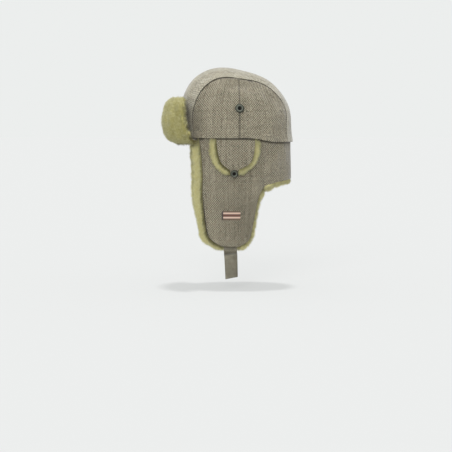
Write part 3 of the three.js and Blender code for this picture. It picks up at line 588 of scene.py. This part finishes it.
def fibre_group():
    """Grows tapered fibres on a pad: their lean follows the pile's nap and gathers them in clumps."""
    tree = bpy.data.node_groups.new("pile_fibres", "GeometryNodeTree")
    sockets = [
        ("Pad", "NodeSocketGeometry", None),
        ("Density", "NodeSocketFloat", 1.0),
        ("Length", "NodeSocketFloat", 0.007),
        ("Width", "NodeSocketFloat", 0.0004),
        ("Nap", "NodeSocketVector", (0, 0, 0)),
        ("Clumps", "NodeSocketFloat", 90.0),
        ("Gather", "NodeSocketFloat", 3.4),
        ("Seed", "NodeSocketInt", 1),
        ("Fibre", "NodeSocketMaterial", None),
    ]
    for socket, kind, value in sockets:
        made = tree.interface.new_socket(socket, in_out="INPUT", socket_type=kind)
        if value is not None:
            made.default_value = value
    tree.interface.new_socket("Pile", in_out="OUTPUT", socket_type="NodeSocketGeometry")
    nodes, links = tree.nodes, tree.links
    given = nodes.new("NodeGroupInput")
    result = nodes.new("NodeGroupOutput")

    def vector_node(operation, a, b):
        node = nodes.new("ShaderNodeVectorMath")
        node.operation = operation
        for i, value in enumerate((a, b)):
            if isinstance(value, (int, float, tuple)):
                socket = node.inputs["Scale"] if operation == "SCALE" and i else node.inputs[i]
                socket.default_value = value
            elif operation == "SCALE" and i:
                links.new(value, node.inputs["Scale"])
            else:
                links.new(value, node.inputs[i])
        return node.outputs[0]

    grows = nodes.new("GeometryNodeInputNamedAttribute")
    grows.inputs["Name"].default_value = "grows"
    roots = nodes.new("GeometryNodeDistributePointsOnFaces")
    thinned = nodes.new("ShaderNodeMath")
    thinned.operation = "MULTIPLY"
    links.new(given.outputs["Density"], thinned.inputs[0])
    links.new(grows.outputs["Attribute"], thinned.inputs[1])
    links.new(given.outputs["Pad"], roots.inputs["Mesh"])
    links.new(thinned.outputs[0], roots.inputs["Density"])
    links.new(given.outputs["Seed"], roots.inputs["Seed"])

    fibre = nodes.new("GeometryNodeMeshCone")
    fibre.fill_type = "NONE"
    fibre.inputs["Vertices"].default_value = 3
    fibre.inputs["Radius Top"].default_value = 0.0
    fibre.inputs["Radius Bottom"].default_value = 1.0
    fibre.inputs["Depth"].default_value = 1.0
    position = nodes.new("GeometryNodeInputPosition")
    split = nodes.new("ShaderNodeSeparateXYZ")
    links.new(position.outputs[0], split.inputs[0])
    along = nodes.new("GeometryNodeStoreNamedAttribute")
    along.inputs["Name"].default_value = "along"
    links.new(fibre.outputs["Mesh"], along.inputs["Geometry"])
    links.new(split.outputs["Z"], along.inputs["Value"])

    # Lean: nap, clumps about a centimetre across and a little of each fibre's own
    gather = nodes.new("ShaderNodeTexNoise")
    gather.inputs["Detail"].default_value = 1.5
    links.new(given.outputs["Clumps"], gather.inputs["Scale"])
    own = nodes.new("FunctionNodeRandomValue")
    own.data_type = "FLOAT_VECTOR"
    own.inputs["Min"].default_value = (-0.3, -0.3, -0.3)
    own.inputs["Max"].default_value = (0.3, 0.3, 0.3)
    links.new(given.outputs["Seed"], own.inputs["Seed"])
    centred = vector_node("SUBTRACT", gather.outputs["Color"], (0.5, 0.5, 0.5))
    gathered = vector_node("SCALE", centred, given.outputs["Gather"])
    lean = vector_node("ADD", roots.outputs["Normal"], gathered)
    lean = vector_node("ADD", lean, own.outputs["Value"])
    lean = vector_node("ADD", lean, given.outputs["Nap"])
    combed = nodes.new("GeometryNodeInputNamedAttribute")
    combed.data_type = "FLOAT_VECTOR"
    combed.inputs["Name"].default_value = "combed"
    lean = vector_node("ADD", lean, combed.outputs["Attribute"])
    turned = nodes.new("FunctionNodeAlignRotationToVector")
    links.new(lean, turned.inputs["Vector"])

    # Size: uneven lengths
    spare = nodes.new("FunctionNodeRandomValue")
    shortest, longest = spare.inputs[2], spare.inputs[3]
    shortest.default_value = 0.6
    longest.default_value = 1.1
    links.new(given.outputs["Seed"], spare.inputs["Seed"])
    long = nodes.new("ShaderNodeMath")
    long.operation = "MULTIPLY"
    links.new(given.outputs["Length"], long.inputs[0])
    links.new(spare.outputs[1], long.inputs[1])
    size = nodes.new("ShaderNodeCombineXYZ")
    links.new(given.outputs["Width"], size.inputs[0])
    links.new(given.outputs["Width"], size.inputs[1])
    links.new(long.outputs[0], size.inputs[2])
    stand = nodes.new("GeometryNodeInstanceOnPoints")
    links.new(roots.outputs["Points"], stand.inputs["Points"])
    links.new(along.outputs["Geometry"], stand.inputs["Instance"])
    links.new(turned.outputs[0], stand.inputs["Rotation"])
    links.new(size.outputs[0], stand.inputs["Scale"])

    shade = nodes.new("FunctionNodeRandomValue")
    shade.inputs["Seed"].default_value = 5
    tone = nodes.new("GeometryNodeStoreNamedAttribute")
    tone.domain = "INSTANCE"
    tone.inputs["Name"].default_value = "tone"
    links.new(stand.outputs[0], tone.inputs["Geometry"])
    links.new(shade.outputs[1], tone.inputs["Value"])
    real = nodes.new("GeometryNodeRealizeInstances")
    links.new(tone.outputs[0], real.inputs["Geometry"])
    dyed = nodes.new("GeometryNodeSetMaterial")
    links.new(real.outputs[0], dyed.inputs["Geometry"])
    links.new(given.outputs["Fibre"], dyed.inputs["Material"])
    smooth = nodes.new("GeometryNodeSetShadeSmooth")
    links.new(dyed.outputs[0], smooth.inputs["Geometry"])
    whole = nodes.new("GeometryNodeJoinGeometry")
    links.new(smooth.outputs[0], whole.inputs[0])
    links.new(given.outputs["Pad"], whole.inputs[0])
    links.new(whole.outputs[0], result.inputs[0])
    return tree


PILE_FIBRES = fibre_group()


PALE_SHARE = 0.6
PARTED_SHARE = 0.9
DARK_FIBRE_SHARE = 0.55
DEEPEST_SHARE = 0.95


def pile_material(name, deep, root, tip, pale):
    """Olive plush: darker between the fibres, paler at their tips, mottled where the nap turns, and darkened
    by painted shade in the crease beside the cloth, inside the hat and on its upper side."""
    material, tree, shader = new_material(name)
    place = tree.nodes.new("ShaderNodeTexCoord").outputs["Object"]
    mottle = clouds(tree, 110, 4, place)
    tips = blend(tree, spread(tree, mottle.outputs["Fac"], 0.35, 0.65, 0, PALE_SHARE), tip, pale)
    tufts = clouds(tree, 300, 2, place)
    tips = blend(tree, spread(tree, tufts.outputs["Fac"], 0.45, 0.6, 0, PARTED_SHARE), tips, root)
    colour = blend(tree, attribute(tree, "along"), root, tips)
    dyed = blend(tree, spread(tree, attribute(tree, "tone"), 0, 1, 0, DARK_FIBRE_SHARE), colour, root)
    # Painted shade in the crease beside the cloth, inside the hat and on the upper side
    shade = spread(tree, attribute(tree, "painted_pile_shade"), 0, 1, 0, DEEPEST_SHARE)
    tree.links.new(blend(tree, shade, dyed, deep), shader.inputs["Base Color"])
    shader.inputs["Roughness"].default_value = 0.85
    shader.inputs["Specular IOR Level"].default_value = 0.25
    shader.inputs["Sheen Weight"].default_value = 0.1
    shader.inputs["Sheen Roughness"].default_value = 0.4
    return material


FOREHEAD_PILE = pile_material(
    "forehead_pile",
    deep=(0.12, 0.10, 0.035, 1),
    root=(0.50, 0.46, 0.18, 1),
    tip=(0.96, 0.92, 0.52, 1),
    pale=(0.99, 0.97, 0.72, 1),
)


def grow_pile(pad, material, density, length, nap, seed, clumps=90.0, gather=3.4):
    """Covers a pad with fibres. density is in fibres on a square metre."""
    pad.data.materials.clear()
    pad.data.materials.append(material)
    growth = pad.modifiers.new("growth", "NODES")
    growth.node_group = PILE_FIBRES
    given = {
        "Density": density, "Length": length, "Width": PILE_ROOT_WIDTH, "Nap": nap,
        "Clumps": clumps, "Gather": gather, "Seed": seed, "Fibre": material,
    }
    for item in PILE_FIBRES.interface.items_tree:
        if item.in_out == "INPUT" and item.name in given:
            growth[item.identifier] = given[item.name]
    bpy.ops.object.select_all(action="DESELECT")
    bpy.context.view_layer.objects.active = pad
    pad.select_set(True)
    bpy.ops.object.modifier_apply(modifier="growth")


front_cloth = cloth_copy("front_flap_cloth", "forehead_flap_cloth")
finish_cloth(front_cloth, CROWN_TWEED, distance_round, height)
forehead_pile = pile_pad(
    "front_flap_fur", "forehead_flap_pile", PILE_WELD, 14, 0.0045, [(front_cloth, 0.004)]
)
# The flap's ends droop a little towards the ear flaps
pad_points = points_of(forehead_pile)
rearward = np.clip((pad_points[:, 1] + 0.125) / 0.03, 0, 1) * np.clip((0.02 - pad_points[:, 2]) / 0.03, 0, 1)
pad_points[:, 1] += FLAP_END_DROOP * rearward * (np.abs(pad_points[:, 0]) > 0.04)
move_points(forehead_pile, pad_points)
grow_pile(forehead_pile, FOREHEAD_PILE, density=900000, length=0.0085, nap=(0, 0, 0), seed=3)


# Pile lining of the ear flaps and the neck flap: the same plush, sewn inside the tweed. It stands past
# the flaps' edges all round as a soft rim.
LINING_WELD = 0.0022
# Painted light: the lining takes a lighter copy of the forehead's plush, so that its rims, which the lamps
# light less, come out as bright
PAINTED_LIGHT_LINING_PILE = pile_material(
    "painted_light_lining_pile",
    deep=(0.10, 0.085, 0.03, 1),
    root=(0.74, 0.69, 0.34, 1),
    tip=(0.98, 0.96, 0.62, 1),
    pale=(0.99, 0.98, 0.76, 1),
)
LINING_DENSITY = 1500000
LINING_LENGTH = 0.0062
LINING_NAP = (0, 0, -0.35)

# The rim is plumper in the corner between the ear flap and the neck flap
CORNER = (0.052, -0.100)
CORNER_REACH = 0.013
CORNER_FILL = 0.0045


def plump_corner(pad):
    points, normals = points_of(pad), normals_of(pad)
    apart = np.linalg.norm(points[:, 1:] - CORNER, axis=1)
    move_points(pad, points + normals * (CORNER_FILL * np.exp(-(apart / CORNER_REACH) ** 2))[:, None])


for seed, side in enumerate(("left", "right")):
    lining = pile_pad(
        f"ear_fur_{side}", f"ear_flap_{side}_pile", LINING_WELD, 40, 0.001,
        [(ear_cloths[side], 0.006)], lining_share=0.45, fuller_in_front=0.004,
    )
    plump_corner(lining)
    grow_pile(
        lining, PAINTED_LIGHT_LINING_PILE, LINING_DENSITY, LINING_LENGTH, LINING_NAP, 11 + seed, clumps=130, gather=2.4
    )
neck_lining = pile_pad(
    "neck_fur", "neck_flap_pile", LINING_WELD, 10, -0.0005, [(neck, 0.006)], lining_share=0.5,
    crease=0.35,
)
plump_corner(neck_lining)
grow_pile(neck_lining, PAINTED_LIGHT_LINING_PILE, LINING_DENSITY, LINING_LENGTH, LINING_NAP, 17, clumps=130)


# Ear covers: a U of tweed over each ear opening, edged all round with pile. Its tip is closed with a snap
# cap, and it folds up to the stud on the crown.
RIM_SHADOW_REACH = 0.0035
RIM_SHADOW = 0.5
for seed, side in enumerate(("left", "right")):
    cover = cloth_copy(f"ear_cover_{side}", f"ear_cover_{side}_cloth")
    # Painted shade under the crown's hem along the cover's top
    press_seam(cover, side_panels, HEM_SHADE_REACH, HEM_SHADE)
    finish_cloth(cover, CROWN_TWEED, distance_round, height)
    rim = pile_pad(
        f"ear_cover_fur_{side}", f"ear_cover_{side}_pile", LINING_WELD, 30, -0.001,
        [(cover, 0.004), (ear_cloths[side], 0.003)],
    )
    # Painted shadow on the ear flap round the cover's pile rim
    press_seam(ear_cloths[side], [rim], RIM_SHADOW_REACH, RIM_SHADOW)
    grow_pile(
        rim, PAINTED_LIGHT_LINING_PILE, density=1900000, length=0.0068, nap=(0, 0, -0.1), seed=21 + seed, clumps=150,
        gather=1.8,
    )


# Snaps: a socket stud on the crown over each ear and a cap at each cover's tip, both riveted through the
# cloth and turned of dark gunmetal. A bright worn ring surrounds the stud's hollow, painted near black as
# shade.
def colour_ramp(tree, value, stops):
    """Turns a value into a colour. stops are places from 0 to 1 with their colours."""
    node = tree.nodes.new("ShaderNodeValToRGB")
    for place, _ in stops[2:]:
        node.color_ramp.elements.new(place)
    for element, (place, colour) in zip(node.color_ramp.elements, stops):
        element.position = place
        element.color = colour
    tree.links.new(value, node.inputs["Fac"])
    return node.outputs["Color"]


SCRATCH_DEPTH = 0.0001


def gunmetal_material():
    """Blackened brass, worn brighter at the ring, and near black in the middle as painted shade in the
    stud's hollow.
    """
    material, tree, shader = new_material("gunmetal")
    ring_to_rim = (
        (0.0, (0.006, 0.006, 0.005, 1)),
        (0.36, (0.012, 0.012, 0.01, 1)),
        (0.46, (0.08, 0.085, 0.07, 1)),
        (0.62, (0.14, 0.15, 0.125, 1)),
        (0.8, (0.07, 0.073, 0.056, 1)),
        (1.0, (0.04, 0.04, 0.03, 1)),
    )
    finish = colour_ramp(tree, attribute(tree, "outward"), ring_to_rim)
    tree.links.new(finish, shader.inputs["Base Color"])
    place = tree.nodes.new("ShaderNodeTexCoord")
    scratches = clouds(tree, 900, 4, place.outputs["Object"]).outputs["Fac"]
    tree.links.new(spread(tree, scratches, 0, 1, 0.28, 0.62), shader.inputs["Roughness"])
    bump = bumped(tree, scratches, 0.25, SCRATCH_DEPTH)
    tree.links.new(bump.outputs["Normal"], shader.inputs["Normal"])
    shader.inputs["Metallic"].default_value = 0.9
    return material


GUNMETAL = gunmetal_material()
SNAP_SIDES = 40
SNAP_BEVEL = 0.00025
SNAP_CREASE_ANGLE = math.radians(40)


def turned_snap(node, name, steps):
    """Turns a snap from a disc, ring by ring, where the CAD snap sits. steps are radius and height."""
    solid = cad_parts[node]
    spots = np.array([v.co[:] for v in solid.data.vertices])
    middle = (spots.min(axis=0) + spots.max(axis=0)) / 2
    facing = np.linalg.svd(spots - spots.mean(axis=0), full_matrices=False)[2][2]
    facing *= np.sign(facing[0] * middle[0])
    lowest = ((spots - middle) @ facing).min()
    bpy.ops.object.select_all(action="DESELECT")
    first, *rest = steps
    bpy.ops.mesh.primitive_circle_add(vertices=SNAP_SIDES, radius=first[0], fill_type="NGON")
    piece = bpy.context.object
    piece.name = name
    bpy.ops.object.mode_set(mode="EDIT")
    bpy.ops.mesh.select_all(action="SELECT")
    before = first
    for step in rest:
        bpy.ops.mesh.extrude_region_move(TRANSFORM_OT_translate={"value": (0, 0, step[1] - before[1])})
        share = step[0] / before[0]
        bpy.ops.transform.resize(value=(share, share, 1))
        before = step
    bpy.ops.mesh.select_all(action="SELECT")
    bpy.ops.mesh.normals_make_consistent(inside=False)
    bpy.ops.object.mode_set(mode="OBJECT")
    outward = piece.data.attributes.new("outward", "FLOAT", "POINT")
    points = points_of(piece)
    outward.data.foreach_set("value", np.hypot(points[:, 0], points[:, 1]) / first[0])
    edges = piece.modifiers.new("edges", "BEVEL")
    edges.width = SNAP_BEVEL
    edges.segments = 2
    edges.limit_method = "ANGLE"
    bpy.ops.object.modifier_apply(modifier="edges")
    bpy.ops.object.shade_smooth_by_angle(angle=SNAP_CREASE_ANGLE)
    piece.location = Vector(middle + facing * lowest)
    piece.rotation_euler = Vector(facing).to_track_quat("Z", "Y").to_euler()
    bpy.ops.object.transform_apply(location=True, rotation=True, scale=True)
    piece.data.materials.append(GUNMETAL)
    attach(piece, "root")
    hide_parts(node)
    return piece


STUD_STEPS = (
    (0.0090, 0), (0.0090, 0.0009), (0.0084, 0.0013), (0.0072, 0.0014), (0.0068, 0.0024), (0.0060, 0.0027),
    (0.0046, 0.0026), (0.0041, 0.0021), (0.0038, 0.0006), (0.0006, 0.0005),
)
CAP_STEPS = (
    (0.0076, 0), (0.0076, 0.0012), (0.0070, 0.0023), (0.0058, 0.0029), (0.0046, 0.0027), (0.0036, 0.0017),
    (0.0030, 0.0016), (0.0022, 0.0024), (0.0010, 0.0029), (0.0004, 0.0030),
)
for side in ("left", "right"):
    turned_snap(f"snap_stud_{side}", f"crown_stud_{side}", STUD_STEPS)
    turned_snap(f"snap_cap_{side}", f"cover_cap_{side}", CAP_STEPS)


# Chin straps: a strip of darker tweed doubled back at its lower end, so that the open end of its front
# layer shows below the flap's tip. A row of dark thread holds it to the flap.
STRAP_TWEED = tweed(
    "strap_tweed",
    light=(0.38, 0.355, 0.27, 1),
    dark=(0.05, 0.044, 0.03, 1),
    warm=(0.2, 0.165, 0.12, 1),
    contrast=1.6,
)
OPEN_END = (-0.2265, -0.2175)
OPEN_END_DROP = 0.0050
OPEN_END_LIP = 0.0035
OPEN_END_SHADE = 0.95
REAR_EDGE_SHADE = 0.35
STRAP_WIDENING = 0.0028
STRAP_SLANT = 0.0036
STRAP_ROLL = 0.0004
STRAP_WELD = 0.00001
STITCH_LEVEL = -0.2236
STITCH_RADIUS = 0.0009
STITCH_MARGIN = 0.0035
STITCH_COUNT = 6
THREAD_COLOUR = (0.05, 0.045, 0.03, 1)
PLY_SHADE = (0.025, 0.0225, 0.015, 1)


def thread_material():
    """Dull two-ply sewing thread, with painted shade between its plies."""
    material, tree, shader = new_material("strap_thread")
    place = tree.nodes.new("ShaderNodeTexCoord")
    plies = tree.nodes.new("ShaderNodeTexWave")
    plies.bands_direction = "DIAGONAL"
    plies.inputs["Scale"].default_value = 900
    tree.links.new(place.outputs["Object"], plies.inputs["Vector"])
    tree.links.new(blend(tree, plies.outputs["Fac"], PLY_SHADE, THREAD_COLOUR), shader.inputs["Base Color"])
    shader.inputs["Roughness"].default_value = 0.8
    return material


STRAP_THREAD = thread_material()
for side in ("left", "right"):
    strap = cloth_copy(
        f"strap_{side}", f"chin_strap_{side}", roll=STRAP_ROLL, weld=STRAP_WELD, levels=3
    )
    points = points_of(strap)
    low, high = points.min(axis=0), points.max(axis=0)
    end = (points[:, 2] > OPEN_END[0]) & (points[:, 2] < OPEN_END[1])
    lip = end & (points[:, 2] < OPEN_END[0] + OPEN_END_LIP)
    points[end, 2] -= OPEN_END_DROP
    rearmost = (points[:, 1] - low[1]) / (high[1] - low[1])
    upper = np.clip((points[:, 2] - low[2]) / (high[2] - low[2]), 0, 1)
    rear_edge_shade = np.clip((rearmost - 0.86) / 0.05, 0, 1)
    points[:, 1] += STRAP_WIDENING * rearmost * upper
    points[:, 2] -= STRAP_SLANT * (1 - rearmost) * np.clip(1 - upper / 0.35, 0, 1)
    move_points(strap, points)
    # Painted shade under the lip of the front layer's open end, and along the rear edge where the strap's
    # side turns away
    shade = strap.data.attributes.new("seam", "FLOAT", "POINT")
    shade.data.foreach_set("value", np.maximum(OPEN_END_SHADE * lip, REAR_EDGE_SHADE * rear_edge_shade))
    finish_cloth(strap, STRAP_TWEED, lambda points: points[:, 1], height)

    # Stitches across the strap, just under the flap's edge
    low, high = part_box(f"strap_{side}")
    outermost = surface_of([strap])
    sign = 1 if side == "left" else -1
    stitches = []
    for place in np.linspace(low[1] + STITCH_MARGIN, high[1] - STITCH_MARGIN, STITCH_COUNT):
        spot = outermost.ray_cast(Vector((sign * 0.2, place, STITCH_LEVEL)), Vector((-sign, 0, 0)), 0.3)[0]
        bpy.ops.object.select_all(action="DESELECT")
        bpy.ops.mesh.primitive_uv_sphere_add(
            segments=10, ring_count=6, radius=STITCH_RADIUS, location=spot
        )
        stitch = bpy.context.object
        bpy.ops.object.mode_set(mode="EDIT")
        bpy.ops.mesh.select_all(action="SELECT")
        bpy.ops.transform.resize(value=(0.6, 1.7, 0.8))
        bpy.ops.object.mode_set(mode="OBJECT")
        bpy.ops.object.shade_smooth()
        stitches.append(stitch)
    bpy.ops.object.select_all(action="DESELECT")
    for stitch in stitches:
        stitch.select_set(True)
    bpy.context.view_layer.objects.active = stitches[0]
    bpy.ops.object.join()
    row = bpy.context.object
    row.name = f"chin_strap_{side}_stitches"
    bpy.ops.object.transform_apply(location=True, rotation=True, scale=True)
    row.data.materials.append(STRAP_THREAD)
    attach(row, "root")


# Woven label: a narrow satin tab with plain stripes, sewn flat on the left ear flap with its front end
# folded under.
THREAD_PITCH = 0.0005
THREAD_HEIGHT = 0.0001


def label_material(bottom, top, left, right):
    """Satin weave in stripes: brown edges, pale pink and a brown-red middle, with painted shade at the
    folded end, darkest at the left."""
    material, tree, shader = new_material("label_satin")
    nodes, links = tree.nodes, tree.links
    cut = nodes.new("ShaderNodeUVMap")
    cut.uv_map = "cut"
    split = nodes.new("ShaderNodeSeparateXYZ")
    links.new(cut.outputs[0], split.inputs[0])
    brown, pink, red = (0.12, 0.075, 0.045, 1), (0.62, 0.45, 0.36, 1), (0.115, 0.045, 0.028, 1)
    stops = ((0.0, brown), (0.16, brown), (0.22, pink), (0.34, pink), (0.40, red), (0.64, red),
             (0.70, pink), (0.82, pink), (0.88, brown), (1.0, brown))
    stripes = colour_ramp(tree, spread(tree, split.outputs["Y"], bottom, top), stops)
    # Painted shade at the folded end
    end = spread(tree, split.outputs["X"], left, right, 1, 0)
    links.new(blend(tree, end, stripes, (0.04, 0.03, 0.025, 1)), shader.inputs["Base Color"])
    threads = nodes.new("ShaderNodeMath")
    threads.operation = "MULTIPLY"
    threads.inputs[1].default_value = 2 * math.pi / THREAD_PITCH
    links.new(split.outputs["X"], threads.inputs[0])
    ribs = nodes.new("ShaderNodeMath")
    ribs.operation = "SINE"
    links.new(threads.outputs[0], ribs.inputs[0])
    bump = bumped(tree, ribs.outputs[0], 0.4, THREAD_HEIGHT)
    links.new(bump.outputs["Normal"], shader.inputs["Normal"])
    shader.inputs["Roughness"].default_value = 0.5
    shader.inputs["Sheen Weight"].default_value = 0.4
    return material


LABEL_ROLL = 0.0002
LABEL_WELD = 0.00001
LABEL_FRONT = 0.0022
LABEL_REAR = 0.0018
FOLD_START = 0.0004
FOLD_END = 0.0012
label = cloth_copy("label", "woven_label", roll=LABEL_ROLL, weld=LABEL_WELD)
low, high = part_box("label")
label_points = points_of(label)
longer = (low[1] - LABEL_FRONT, high[1] + LABEL_REAR)
label_points[:, 1] = np.interp(label_points[:, 1], (low[1], high[1]), longer)
move_points(label, label_points)
lay_weave(label, lambda points: points[:, 1], height)
label.data.materials.clear()
label.data.materials.append(label_material(low[2], high[2], low[1] + FOLD_START, low[1] + FOLD_END))


# Stage: a wide pale floor in a white room. An overhead lamp casts the hat's shadow, and a soft lamp fills
# the side that the camera sees.
FLOOR_LEVEL = -0.298
FLOOR_RADIUS = 60
FLOOR_RING = 50
ROOM_COLOUR = (0.838, 0.855, 0.847, 1)
ROOM_GLOW = 0.80

bpy.ops.object.select_all(action="DESELECT")
bpy.ops.mesh.primitive_circle_add(
    vertices=64, radius=FLOOR_RADIUS, fill_type="NGON", location=(0, 0, FLOOR_LEVEL)
)
floor = bpy.context.object
floor.name = "floor"
bpy.ops.object.mode_set(mode="EDIT")
bpy.ops.mesh.select_all(action="SELECT")
bpy.ops.mesh.inset(thickness=FLOOR_RING)
bpy.ops.object.mode_set(mode="OBJECT")
bpy.ops.object.transform_apply(location=True, rotation=True, scale=True)
stage_paint, _, paint = new_material("stage_paint")
paint.inputs["Base Color"].default_value = (0.26, 0.26, 0.26, 1)
paint.inputs["Roughness"].default_value = 1
paint.inputs["Specular IOR Level"].default_value = 0
paint.inputs["Emission Color"].default_value = ROOM_COLOUR
paint.inputs["Emission Strength"].default_value = 0.56
floor.data.materials.append(stage_paint)

world = bpy.data.worlds.new("white_room")
bpy.context.scene.world = world
world.use_nodes = True
room = world.node_tree
seen = room.nodes["Background"]
seen.inputs["Color"].default_value = ROOM_COLOUR
seen.inputs["Strength"].default_value = 1.0
felt = room.nodes.new("ShaderNodeBackground")
felt.inputs["Color"].default_value = ROOM_COLOUR
felt.inputs["Strength"].default_value = ROOM_GLOW
whose_ray = room.nodes.new("ShaderNodeLightPath")
chosen = room.nodes.new("ShaderNodeMixShader")
room.links.new(whose_ray.outputs["Is Camera Ray"], chosen.inputs[0])
room.links.new(felt.outputs[0], chosen.inputs[1])
room.links.new(seen.outputs[0], chosen.inputs[2])
room.links.new(chosen.outputs[0], room.nodes["World Output"].inputs["Surface"])


def soft_lamp(name, towards, power, softness):
    """A distant lamp in the direction towards, with the softness of a soft box."""
    bpy.ops.object.light_add(type="SUN", location=towards)
    lamp = bpy.context.object
    lamp.name = name
    lamp.data.energy = power
    lamp.data.angle = math.radians(softness)
    lamp.rotation_euler = Vector(towards).to_track_quat("Z", "Y").to_euler()


soft_lamp("overhead_lamp", (0, 0, 2), power=1.9, softness=6)
soft_lamp("side_fill", (1.8, -0.4, 0.8), power=1.3, softness=30)
bpy.context.scene.view_settings.view_transform = "Standard"
